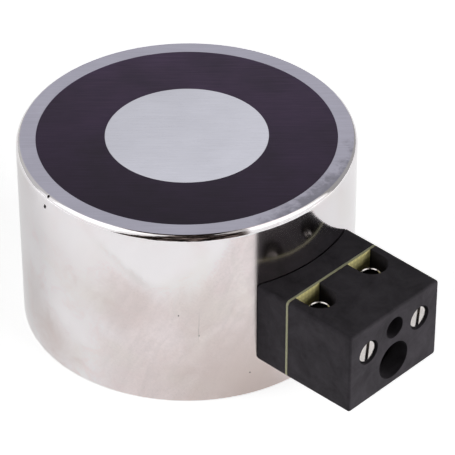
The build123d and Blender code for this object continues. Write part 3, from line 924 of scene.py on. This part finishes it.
def seat_matrix(x, y, z, outward, slot_along):
    """Seats a screw: its head's underside at a point in millimetres, facing outward, its slot along a line."""
    up = Vector(outward).normalized()
    first = Vector(slot_along)
    first = (first - up * first.dot(up)).normalized()
    second = up.cross(first)
    turn = Matrix((first, second, up)).transposed().to_4x4()
    return Matrix.Translation(Vector((x, y, z)) * MM) @ turn


class MAGNET_OT_pot(bpy.types.Operator):
    """Turn the steel pot with its pole, rim, back thread and side holes, and plate it"""

    bl_idname = "magnet.make_pot"
    bl_label = "Pot and pole"

    def execute(self, context):
        sizes, finish = context.scene.magnet_sizes, context.scene.magnet_finish
        radius, top = pot_high.x, pot_high.z
        slot, floor, pole = resin_high.x, disc_low.z, sizes.pole_radius / MM
        rounding, edge = sizes.rim_round / MM, sizes.pole_edge / MM
        drop = rounding - sizes.rim_ground_off / MM
        minor, major = sizes.back_thread_minor / MM, sizes.back_thread_major / MM
        pitch, deep = sizes.back_thread_pitch / MM, sizes.back_thread_depth / MM
        chamfer = sizes.back_chamfer / MM
        point = minor / math.tan(math.radians(59))
        rows = [(0, deep + point, 0), (minor, deep, 0)]
        step = pitch / ROWS_PER_PITCH
        count = int(deep / step)
        for k in range(1, count):
            height = deep - k * step
            grow = min(1.0, (deep - height) / pitch / 1.5, max(0.0, height / pitch))
            rows.append((max(minor, minor + COUNTERSINK - height), height, (minor - major) * grow))
        rows += [(minor + COUNTERSINK, 0, 0)]
        rows += [
            (minor + COUNTERSINK + (radius - chamfer - minor - COUNTERSINK) * k / 6, 0, 0)
            for k in range(1, 7)
        ]
        rows += [(radius, chamfer, 0), (radius, 2.0, 0), (radius, 9.0, 0), (radius, 33.0, 0)]
        turned = math.asin(drop / rounding)
        for k in range(13):
            a = turned * k / 12
            rows.append(
                (radius - rounding + rounding * math.cos(a), top - drop + rounding * math.sin(a), 0)
            )
        rows += [(slot + edge, top, 0), (slot, top - edge, 0), (slot, floor, 0), (pole, floor, 0)]
        rows += [(pole, top - edge, 0), (pole - edge, top, 0), (pole * 0.5, top, 0), (0, top, 0)]
        piece = new_object("pot_plated", lathe(rows, AROUND_POT, pitch))
        cut_out(
            piece,
            [
                bar(circle(0, bush_z, BUSH_HOLE), slot - 3, radius + 3),
                bar(circle(0, centre_z, TAPPED_HOLE), slot - 3, radius + 3),
            ],
        )
        plate = bright_nickel("Nickel_bright_plated", finish, 6, 0.1)
        rounding_plate = bright_nickel("Nickel_bright_plated_on_turned_round", finish, 16, 0.04, clean=True)
        ground_pole = ground_steel("Steel_pole_face_ground_and_plated", finish.pole_face, 0.3, 0.08, 0.07)
        ground_rim = ground_steel("Steel_rim_face_ground_and_plated", finish.rim_face, 0.34, 0.12, 0.0)
        back = turned_steel("Steel_back_face_turned_and_plated", finish.back_face, 0.24, 0.35)
        thread = small_metal("Steel_thread_cut_and_oiled", finish.bare_steel, 0.35, 0.8, 0.01)
        dress(
            piece,
            [plate, ground_pole, ground_rim, back, thread, rounding_plate],
            ROOT,
            "nickel_plate",
            "pot_housing",
        )
        for face in piece.data.polygons:
            x, y, z = face.center / MM
            out = math.hypot(x, y)
            if z > top - edge:
                face.material_index = 1 if out < pole + edge else 2 if out < radius - rounding * 0.55 else 0
            elif z < 0.01:
                face.material_index = 3
            elif out > slot + 1 and z > top - drop:
                face.material_index = 5
            elif out < major + 0.1 and z < deep + point + 1:
                face.material_index = 4
        smooth_by_angle(piece, 24)
        return {"FINISHED"}


class MAGNET_OT_coil(bpy.types.Operator):
    """Finish the resin ring and the coil under it: bobbin, wire, tape, disc, leads, bush and solder"""

    bl_idname = "magnet.make_coil"
    bl_label = "Coil and resin"

    def execute(self, context):
        finish = context.scene.magnet_finish
        keep_node("potting_resin", cast_resin(finish))
        nylon = small_plastic("Nylon_natural_moulded", finish.nylon, 0.5, 6, 1.53)
        keep_node("coil_bobbin", nylon)
        keep_node("lead_bush", nylon)
        keep_node("coil_winding", wound_copper(finish))
        keep_node("winding_tape", small_plastic("Polyester_tape_wrapped", finish.tape, 0.35, 9, 1.57))
        keep_node("insulation_disc", small_plastic("Pressboard_die_cut", finish.pressboard, 0.8, 1.5, 1.5))
        lead = small_plastic("PVC_insulation_extruded", finish.lead, 0.4, 3, 1.53)
        for side in SIDES:
            keep_node(f"coil_lead_{side}", lead)
        keep_node("solder_joints", small_metal("Tin_solder_flowed", finish.solder, 0.25, 1.2, 0.02))
        return {"FINISHED"}


class MAGNET_OT_saddle(bpy.types.Operator):
    """Mould the saddle that fits the round pot, and cut its board to size"""

    bl_idname = "magnet.make_saddle"
    bl_label = "Saddle and board"

    def execute(self, context):
        sizes, finish = context.scene.magnet_sizes, context.scene.magnet_finish
        outline = rounded_rectangle(
            (saddle_low.y, saddle_low.z), (saddle_high.y, saddle_high.z), sizes.block_corner / MM
        )
        front = saddle_high.x
        piece = new_object("saddle_moulding", bar(outline, saddle_low.x - 1.0, front))
        flange = (bush_high.z - bush_low.z) / 2
        trough = rounded_rectangle((-11.6, bush_z - flange - 0.3), (11.6, bush_z + flange + 0.3), 1.0)
        cut_out(
            piece,
            [
                bar(circle(0, 0, pot_high.x + 0.15, AROUND_POT), 0, 60, UPRIGHT),
                bar(trough, front - 3.2, front + 1),
                bar(circle(0, bush_z, BUSH_HOLE), 30, front + 1),
                bar(circle(0, centre_z, CLEAR_HOLE), 30, front + 1),
            ],
        )
        break_edges(piece, sizes.moulding_break)
        material = bpy.data.materials.get("Phenolic_black_moulded") or matt_moulding(finish)
        dress(piece, material, ROOT, "black_moulding", "terminal_saddle")
        keep_node("terminal_board", glass_board(finish))
        return {"FINISHED"}


class MAGNET_OT_cover(bpy.types.Operator):
    """Mould the cover with its draft, rounded front, notches, pockets, chamber and holes"""

    bl_idname = "magnet.make_cover"
    bl_label = "Terminal cover"

    def execute(self, context):
        sizes, finish = context.scene.magnet_sizes, context.scene.magnet_finish
        back, front = cover_low.x, cover_high.x
        low, high = (cover_low.y, cover_low.z), (cover_high.y, cover_high.z)
        rounding, corner = sizes.cover_round / MM, sizes.block_corner / MM
        draft = math.tan(math.radians(0.6))
        stations = [(back, 0.0), (front - rounding, (front - rounding - back) * draft)]
        for k in range(1, 7):
            a = math.radians(15 * k)
            stations.append(
                (
                    front - rounding + rounding * math.sin(a),
                    (front - back) * draft + rounding * (1 - math.cos(a)) * 0.98,
                )
            )
        rings = []
        for x, inset in stations:
            outline = rounded_rectangle(
                (low[0] + inset, low[1] + inset), (high[0] - inset, high[1] - inset), corner - inset
            )
            rings.append([(y, z, x) for y, z in outline])
        piece = new_object("cover_moulding", loft(rings, OUTWARD))
        half = (brass_high.y - brass_low.y) / 2 + SIDE_GAP
        pocket_low, pocket_high = brass_low.z - END_GAP, brass_high.z + END_GAP
        step = brass_high.z - 2.2
        cable_z = bush_z + 0.05
        seat = caps_high.x - CHEESE_HEAD[1]
        cutters = []
        for sign in SIDES.values():
            y = sign * clamp_y
            pocket = rounded_rectangle((y - half, pocket_low), (y + half, pocket_high), 0.6)
            cutters.append(bar(pocket, back - 1, brass_high.x + END_GAP))
            notch = [(back - 1, y - half), (clamp_x, y - half)]
            for k in range(1, 32):
                a = math.radians(-90 + 180 * k / 32)
                notch.append((clamp_x + half * math.cos(a), y + half * math.sin(a)))
            notch += [(clamp_x, y + half), (back - 1, y + half)]
            cutters.append(bar(notch, step, high[1] + 3, UPRIGHT))
            cutters.append(bar(circle(y, caps_z, CLEAR_HOLE), back - 1, front + 1))
            cutters.append(bar(circle(y, caps_z, sizes.counterbore / MM), seat, front + 1))
        hole = sizes.cable_hole / MM
        chamber = rounded_rectangle((-6.0, cable_z - hole), (6.0, cable_z + hole + 0.6), 0.6)
        cutters.append(bar(chamber, back - 1, front - 5.0))
        cutters.append(bar(circle(0, cable_z, hole), back, front + 1))
        cutters.append(bar(circle(0, centre_z, sizes.access_hole / MM), back - 1, front + 1))
        cutters.append(bar(circle(0, centre_z, ACCESS_HOLLOW), back - 1, back + 3.3))
        cut_out(piece, cutters)
        break_edges(piece, sizes.moulding_break)
        material = bpy.data.materials.get("Phenolic_black_moulded") or matt_moulding(finish)
        dress(piece, material, ROOT, "black_moulding", "terminal_cover")
        return {"FINISHED"}


class MAGNET_OT_terminals(bpy.types.Operator):
    """Finish the brass terminal bodies and their pressure plates, and make the upright clamping screws"""

    bl_idname = "magnet.make_terminals"
    bl_label = "Terminals"

    def execute(self, context):
        sizes, finish = context.scene.magnet_sizes, context.scene.magnet_finish
        brass = small_metal("Brass_milled", finish.brass, 0.3, 1.5, 0.015)
        steel = small_metal("Steel_screw_nickel_plated", finish.screw, 0.18, 1.4, 0.012)
        # The clamping screws' hollows get painted shade.
        recess = small_metal("Steel_screw_hollow_painted_shade", finish.recess, 0.6, 0.6, 0.02)
        head = (clamp_high.x - clamp_low.x) / 2
        seat_z = clamp_high.z - CLAMP_HEAD_HEIGHT
        shank = seat_z - (clamp_low.z + CLAMP_PIN[1])
        for side, sign in SIDES.items():
            keep_node(f"terminal_body_{side}", brass)
            keep_node(f"pressure_plate_{side}", steel)
            seat = seat_matrix(clamp_x, sign * clamp_y, seat_z, (0, 0, 1), SLOT_DIRECTION)
            piece = slotted_screw(
                f"clamping_screw_{side}", sizes, head, CLAMP_HEAD_HEIGHT, shank, seat, CLAMP_PIN, CLAMP_DISH
            )
            dress(piece, [steel, recess], f"screw_{side}", "plated_screw", f"terminal_screw_{side}")
        return {"FINISHED"}


class MAGNET_OT_screws(bpy.types.Operator):
    """Make the two cover screws and the hidden screw that holds the block on the pot"""

    bl_idname = "magnet.make_screws"
    bl_label = "Cover and block screws"

    def execute(self, context):
        sizes, finish = context.scene.magnet_sizes, context.scene.magnet_finish
        steel = bpy.data.materials.get("Steel_screw_nickel_plated") or small_metal(
            "Steel_screw_nickel_plated", finish.screw, 0.18, 1.4, 0.012
        )
        seat_x = caps_high.x - CHEESE_HEAD[1]
        tilt = math.radians(6)
        for side, sign in SIDES.items():
            seat = seat_matrix(
                seat_x, sign * clamp_y, caps_z, (1, 0, 0), (0, math.sin(tilt), math.cos(tilt))
            )
            piece = slotted_screw(f"cover_screw_{side}", sizes, *CHEESE_HEAD, seat_x - caps_low.x, seat)
            dress(piece, steel, ROOT, "plated_screw", "cover_screws")
        centre_x = centre_high.x - CHEESE_HEAD[1]
        seat = seat_matrix(centre_x, 0, centre_z, (1, 0, 0), (0, 0.3, 1))
        piece = slotted_screw("block_screw_slotted", sizes, *CHEESE_HEAD, centre_x - centre_low.x, seat)
        dress(piece, steel, ROOT, "plated_screw", "block_screw")
        keep_node("block_washer", steel)
        return {"FINISHED"}


class MAGNET_OT_stage(bpy.types.Operator):
    """Set the pale floor, the studio lights, the world and the camera"""

    bl_idname = "magnet.make_stage"
    bl_label = "Studio"

    def execute(self, context):
        scene = context.scene
        work = bmesh.new()
        edge, near, far, side = Vector((0.694, -0.72, 0)), 140, -4000, 4000
        across = Vector((0.72, 0.694, 0))
        corners = ((near, -side), (near, side), (far, side), (far, -side))
        work.faces.new([work.verts.new(edge * a + across * b) for a, b in corners])
        floor = new_object("studio_floor", work)
        floor.data.materials.append(floor_material(scene.magnet_finish))
        set_world(scene)
        for name, place, size, watts in LAMPS:
            data = bpy.data.lights.new(name, "AREA")
            data.shape, data.size, data.size_y, data.energy = "RECTANGLE", size[0], size[1], watts
            lamp = bpy.data.objects.new(name, data)
            lamp.location = place
            aim = Vector((0.01, 0, 0.03)) - lamp.location
            lamp.rotation_euler = aim.to_track_quat("-Z", "Y").to_euler()
            lamp.visible_camera = False
            lamp.visible_diffuse = name.startswith("softbox")
            lamp.visible_glossy = not lamp.visible_diffuse
            scene.collection.objects.link(lamp)
        data = bpy.data.cameras.new("studio_camera")
        data.sensor_width = SENSOR_WIDTH
        data.lens = SENSOR_WIDTH * FOCAL_PIXELS / PHOTO_PIXELS
        data.clip_start, data.clip_end = 0.02, 20.0
        camera = bpy.data.objects.new("studio_camera", data)
        right, up = Vector(CAMERA_RIGHT), Vector(CAMERA_UP)
        back = right.cross(up)
        turn = Matrix((right, up, back)).transposed().to_4x4()
        camera.matrix_world = Matrix.Translation(Vector(CAMERA_PLACE) * MM) @ turn
        scene.collection.objects.link(camera)
        scene.camera = camera
        scene.view_settings.view_transform = "Standard"
        return {"FINISHED"}


# The photo's camera, worked out from the ellipses of the pot: its place in millimetres, its axes, and its focal
# length and picture width in the photo's pixels.
CAMERA_PLACE = (393.03, -395.17, 435.21)
CAMERA_RIGHT = (0.72144, 0.69248, -0.00101)
CAMERA_UP = (-0.41257, 0.43100, 0.80251)
SENSOR_WIDTH, FOCAL_PIXELS, PHOTO_PIXELS = 36.0, 2900, 455

# Strength of the studio's plain light on matt surfaces.
PLAIN_LIGHT = 0.085

# Grinding lines and the clamping screws' slots, in plan, as they lie on the magnet.
GRINDING_ANGLE = math.radians(43.9)
SLOT_DIRECTION = (math.cos(math.radians(40)), math.sin(math.radians(40)), 0)

# Name, place in metres, size in metres and power of each lamp. The soft boxes light matt surfaces. The
# reflectors only show in polished ones, where they are dimmer, so that metal doesn't burn out.
LAMPS = (
    ("softbox_right", (1.0, 0.34, 0.26), (1.2, 0.46), 10.5),
    ("softbox_left", (-0.6, -0.94, 0.3), (0.95, 0.42), 7.2),
    ("reflector_low_right", (1.0, 0.34, 0.26), (1.2, 0.46), 0.75),
    ("reflector_low_left", (-0.6, -0.94, 0.3), (0.95, 0.42), 0.55),
    ("reflector_high_right", (0.72, 0.36, 0.82), (1.15, 1.0), 1.6),
    ("reflector_high_left", (-0.3, -0.72, 0.7), (0.9, 0.9), 1.1),
)

# Grey screens in the studio: angle round Z and half width in degrees, and the share of light they give back.
GREY_SCREENS = ((181, 32, 0.6), (84, 33, 0.38))

# Scratches in the plate: angle in degrees round the pot from +X, and lowest and highest point in millimetres.
PLATE_SCRATCHES = ((-43.1, 17.5, 28.0), (-23.5, 21.0, 27.0), (58.0, 12.0, 30.0), (141.0, 20.0, 38.0))

# Brown stains on the plate, partly painted shade: middle in millimetres, radius and strength. Those beside the
# block's foot and low on the left stand for reflected shadow.
PLATE_STAINS_AND_SHADE = (
    ((35.5, -18.5, 5.5), 19.0, 0.75),
    ((36.8, -15.8, 2.0), 7.0, 0.6),
    ((-15.5, -36.9, 12.0), 13.0, 0.45),
    ((-4.6, -39.7, 7.0), 9.0, 0.5),
    ((5.0, -39.7, 25.0), 10.0, 0.2),
    ((-4.0, -39.8, 33.0), 9.0, 0.2),
    ((17.0, -36.2, 3.0), 14.0, 0.25),
    ((16.5, -36.5, 27.0), 9.0, 0.4),
    ((30.4, -26.0, 27.0), 9.0, 0.3),
    ((-31.0, 25.0, 12.0), 17.0, 0.5),
    ((12.0, 38.1, 20.0), 14.0, 0.4),
)

# Leans the wiping streaks over, a little from the vertical.
WIPING_TILT = (math.radians(-16.6), math.radians(17.4), 0)

# Direction in which the resin is painted paler, as painted light.
PAINTED_LIGHT_TOWARD = (-0.5, 0.86, 0.0)

# Middle of the painted shade on the rim's outer edge, in millimetres.
PAINTED_RIM_SHADE_AT = (39.5, 4.0, 48.0)

# Blisters and specks in the plate: place in millimetres, and radius.
PLATE_SPECKS = (
    ((-5.76, -39.04, 47.75), 0.4),
    ((-6.6, -39.45, 44.8), 0.44),
    ((-6.8, -39.4, 44.4), 0.4),
    ((-24.6, -31.0, 46.9), 0.3),
    ((26.5, -30.0, 25.6), 0.15),
    ((29.8, -26.7, 19.7), 0.13),
    ((36.4, -16.7, 6.7), 0.16),
    ((22.4, 33.1, 31.0), 0.18),
    ((-33.8, -21.4, 14.0), 0.16),
)


def fresh_reflection(tree, path):
    """1 in reflections of the studio, and 0 in light that reached a matt surface first, which stays plain."""
    fresh = add(tree, "ShaderNodeMath", {0: path.outputs["Diffuse Depth"], 1: 0.5}, operation="LESS_THAN")
    return add(
        tree,
        "ShaderNodeMath",
        {0: path.outputs["Is Glossy Ray"], 1: fresh.outputs[0]},
        operation="MULTIPLY",
    ).outputs[0]


def floor_material(finish):
    """Matt white studio paper."""
    # It reads as pure white round the object, and keeps the object's soft shadow.
    material, tree, shader, place = start_material(
        "Paper_white_matt", Roughness=0.9, Specular_IOR_Level=0.1
    )
    shader.inputs["Base Color"].default_value = finish.paper
    path = add(tree, "ShaderNodeLightPath")
    reflection = fresh_reflection(tree, path)
    # In reflections the paper is dimmer left of the magnet, away from the big soft box.
    away = add(tree, "ShaderNodeVectorMath", {0: place, 1: (-58 * MM, -12 * MM, 0.0)}, operation="DISTANCE")
    glow = add(
        tree,
        "ShaderNodeMapRange",
        {0: away.outputs["Value"], 1: 34 * MM, 2: 60 * MM, 3: 0.5, 4: 0.62},
        **EASED,
    )
    mirrored = add(tree, "ShaderNodeMath", {0: reflection, 1: glow.outputs[0]}, operation="MULTIPLY")
    lift = add(
        tree,
        "ShaderNodeMath",
        {0: path.outputs["Is Camera Ray"], 1: 0.76, 2: mirrored.outputs[0]},
        operation="MULTIPLY_ADD",
    )
    shader.inputs["Emission Color"].default_value = (1.0, 1.0, 1.0, 1.0)
    tree.links.new(lift.outputs[0], shader.inputs["Emission Strength"])
    # From below, and under the magnet, the paper is clear, so that the back can be looked at.
    outward = add(tree, "ShaderNodeVectorMath", {0: place}, operation="LENGTH")
    hidden = add(tree, "ShaderNodeMath", {0: outward.outputs["Value"], 1: 39.4 * MM}, operation="LESS_THAN")
    under = add(tree, "ShaderNodeNewGeometry").outputs["Backfacing"]
    clear = add(tree, "ShaderNodeMath", {0: hidden.outputs[0], 1: under}, operation="MAXIMUM")
    both = add(
        tree,
        "ShaderNodeMixShader",
        {0: clear.outputs[0], 1: shader.outputs[0], 2: add(tree, "ShaderNodeBsdfTransparent").outputs[0]},
    )
    tree.links.new(both.outputs[0], tree.nodes["Material Output"].inputs["Surface"])
    return material


def set_world(scene):
    """A white studio, a little dimmer as light than as background, with the dark gap behind the camera."""
    world = bpy.data.worlds.new("studio")
    world.use_nodes = True
    scene.world = world
    tree = world.node_tree
    background = tree.nodes["Background"]
    path = add(tree, "ShaderNodeLightPath")
    seen = add(
        tree,
        "ShaderNodeMath",
        {0: path.outputs["Is Camera Ray"], 1: path.outputs["Is Transmission Ray"]},
        operation="MAXIMUM",
    )
    reflection = fresh_reflection(tree, path)
    direction = add(tree, "ShaderNodeTexCoord").outputs["Generated"]
    axes = add(tree, "ShaderNodeSeparateXYZ", {0: direction}).outputs
    around = add(tree, "ShaderNodeMath", {0: axes["Y"], 1: axes["X"]}, operation="ARCTAN2").outputs[0]
    # The dark gap between the soft boxes starts low on the left, and reaches nearly overhead on the right.
    edge = add(tree, "ShaderNodeMapRange", {0: around, 1: -1.75, 2: -0.95, 3: -0.5, 4: 1.08})
    above = add(tree, "ShaderNodeMath", {0: axes["Z"], 1: edge.outputs[0]}, operation="SUBTRACT")
    below = add(
        tree, "ShaderNodeMapRange", {0: above.outputs[0], 1: -0.05, 2: 0.03, 3: 1.0, 4: 0.0}, **EASED
    )
    overhead = add(tree, "ShaderNodeMath", {0: axes["Z"], 1: 4.0}, operation="POWER")
    leaning = add(
        tree, "ShaderNodeMath", {0: overhead.outputs[0], 1: -0.55, 2: around}, operation="MULTIPLY_ADD"
    )
    within = add(
        tree, "ShaderNodeMapRange", {0: leaning.outputs[0], 1: -0.2, 2: -0.1, 3: 1.0, 4: 0.0}, **EASED
    )
    started = add(tree, "ShaderNodeMapRange", {0: around, 1: -1.7, 2: -1.6}, **EASED)
    gap = add(tree, "ShaderNodeMath", {0: below.outputs[0], 1: within.outputs[0]}, operation="MULTIPLY")
    gap = add(tree, "ShaderNodeMath", {0: gap.outputs[0], 1: started.outputs[0]}, operation="MULTIPLY")
    ceiling = add(tree, "ShaderNodeMapRange", {0: axes["Z"], 1: 0.89, 2: 0.94}, **EASED)
    gap = add(tree, "ShaderNodeMath", {0: gap.outputs[0], 1: ceiling.outputs[0]}, operation="MAXIMUM")
    # What stands in the gap is mostly black, with a few paler brown shelves.
    layered = add(tree, "ShaderNodeVectorMath", {0: direction, 1: (5.0, 5.0, 9.0)}, operation="MULTIPLY")
    room = add(
        tree, "ShaderNodeTexNoise", {"Vector": layered.outputs["Vector"], "Scale": 1.0, "Detail": 3.0}
    )
    deep = add(
        tree, "ShaderNodeMapRange", {0: room.outputs["Fac"], 1: 0.5, 2: 0.64, 3: -0.99, 4: -0.62}, **EASED
    )
    open_sky = add(
        tree, "ShaderNodeMath", {0: gap.outputs[0], 1: deep.outputs[0], 2: 1.0}, operation="MULTIPLY_ADD"
    )
    # Two tall grey screens stand on the far left and on the far right.
    flat = add(tree, "ShaderNodeVectorMath", {0: direction, 1: (1.0, 1.0, 0.0)}, operation="MULTIPLY")
    way = add(tree, "ShaderNodeVectorMath", {0: flat.outputs["Vector"]}, operation="NORMALIZE")
    for facing, half_width, shade in GREY_SCREENS:
        middle = (math.cos(math.radians(facing)), math.sin(math.radians(facing)), 0)
        near = add(
            tree, "ShaderNodeVectorMath", {0: way.outputs["Vector"], 1: middle}, operation="DOT_PRODUCT"
        )
        screen = add(
            tree,
            "ShaderNodeMapRange",
            {
                0: near.outputs["Value"],
                1: math.cos(math.radians(half_width)),
                2: math.cos(math.radians(half_width - 7)),
                3: 1.0,
                4: shade,
            },
            **EASED,
        )
        open_sky = add(
            tree, "ShaderNodeMath", {0: open_sky.outputs[0], 1: screen.outputs[0]}, operation="MULTIPLY"
        )
    mirrored = add(
        tree, "ShaderNodeMath", {0: reflection, 1: open_sky.outputs[0]}, operation="MULTIPLY"
    ).outputs[0]
    either = add(tree, "ShaderNodeMath", {0: seen.outputs[0], 1: mirrored}, operation="MAXIMUM").outputs[0]
    direct = add(
        tree, "ShaderNodeMath", {0: seen.outputs[0], 1: reflection}, operation="MAXIMUM"
    ).outputs[0]
    strength = add(
        tree, "ShaderNodeMix", {0: direct, 2: PLAIN_LIGHT, 3: either}, data_type="FLOAT"
    ).outputs[0]
    # Only reflections see the gap's brown, so the paper behind the magnet and the light on it stay white.
    shelves = add(tree, "ShaderNodeMath", {0: gap.outputs[0], 1: reflection}, operation="MULTIPLY")
    brownish = add(
        tree,
        "ShaderNodeMix",
        {0: shelves.outputs[0], 6: linear("#FFFFFF"), 7: linear("#DCC6BC")},
        data_type="RGBA",
    )
    tree.links.new(brownish.outputs[2], background.inputs["Color"])
    tree.links.new(strength, background.inputs["Strength"])


class MAGNET_PT_panel(bpy.types.Panel):
    """Lists the magnet's pieces, sizes and colours"""

    bl_idname = "MAGNET_PT_panel"
    bl_label = "Holding electromagnet"
    bl_space_type = "VIEW_3D"
    bl_region_type = "UI"
    bl_category = "Magnet"

    def draw(self, context):
        column = self.layout.column()
        for operator in OPERATORS:
            column.operator(operator.bl_idname)
        for group in (context.scene.magnet_sizes, context.scene.magnet_finish):
            box = self.layout.box()
            for name in group.bl_rna.properties.keys():
                if name not in ("rna_type", "name"):
                    box.prop(group, name)


OPERATORS = (
    MAGNET_OT_pot,
    MAGNET_OT_coil,
    MAGNET_OT_saddle,
    MAGNET_OT_cover,
    MAGNET_OT_terminals,
    MAGNET_OT_screws,
    MAGNET_OT_stage,
)
CLASSES = (MagnetSizes, MagnetFinish, *OPERATORS, MAGNET_PT_panel)


def register():
    for cls in CLASSES:
        bpy.utils.register_class(cls)
    bpy.types.Scene.magnet_sizes = PointerProperty(type=MagnetSizes)
    bpy.types.Scene.magnet_finish = PointerProperty(type=MagnetFinish)


def unregister():
    del bpy.types.Scene.magnet_sizes
    del bpy.types.Scene.magnet_finish
    for cls in reversed(CLASSES):
        bpy.utils.unregister_class(cls)


def main():
    register()
    bpy.ops.magnet.make_stage()
    bpy.ops.magnet.make_pot()
    bpy.ops.magnet.make_coil()
    bpy.ops.magnet.make_saddle()
    bpy.ops.magnet.make_cover()
    bpy.ops.magnet.make_terminals()
    bpy.ops.magnet.make_screws()


if __name__ == "__main__":
    main()
